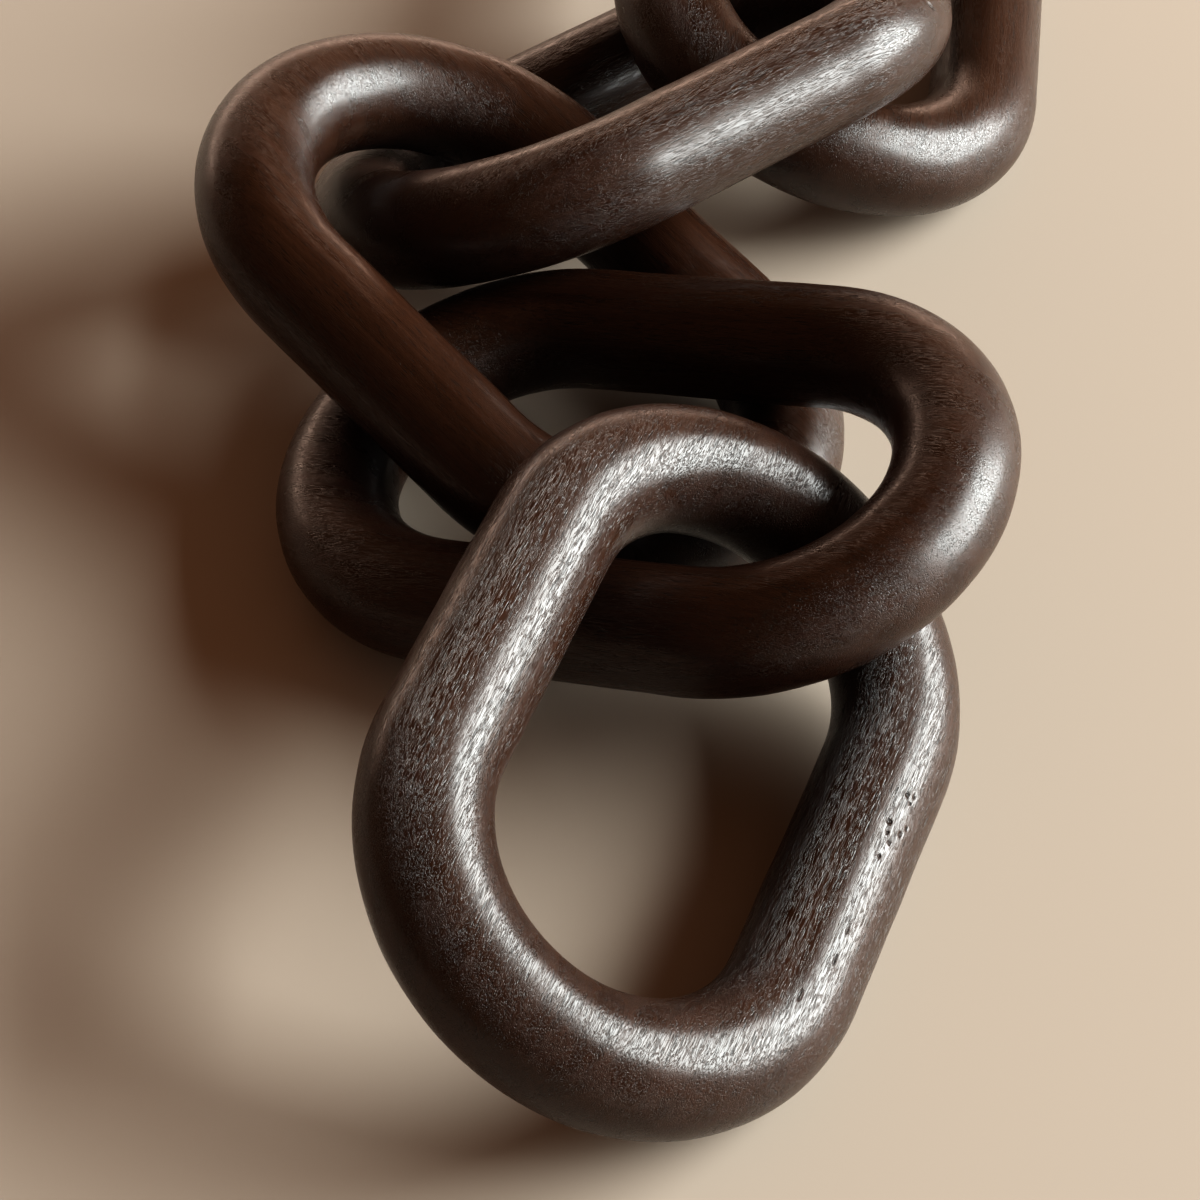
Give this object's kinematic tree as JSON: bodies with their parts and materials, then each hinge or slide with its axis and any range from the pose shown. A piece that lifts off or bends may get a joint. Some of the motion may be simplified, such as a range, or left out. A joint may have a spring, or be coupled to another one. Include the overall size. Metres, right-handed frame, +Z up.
{
  "type": "wooden chain",
  "caption": "Loose decorative chain of carved round-bar wooden links with a dark satin stain, lying in a winding line on a table.",
  "frame": {"origin": "on the table, under the middle of the chain's box", "axes": "+Z up, +Y along the chain from the front link to the end link, +X to the right seen from the front link"},
  "size_m": [0.2082, 0.449, 0.0741],
  "materials": {
    "stained_wood": "dark espresso stain under satin lacquer, open pores"
  },
  "bodies": {
    "root": {"front_link": "stained_wood", "second_link": "stained_wood", "middle_link": "stained_wood", "fourth_link": "stained_wood", "end_link": "stained_wood"}
  },
  "joints": []
}
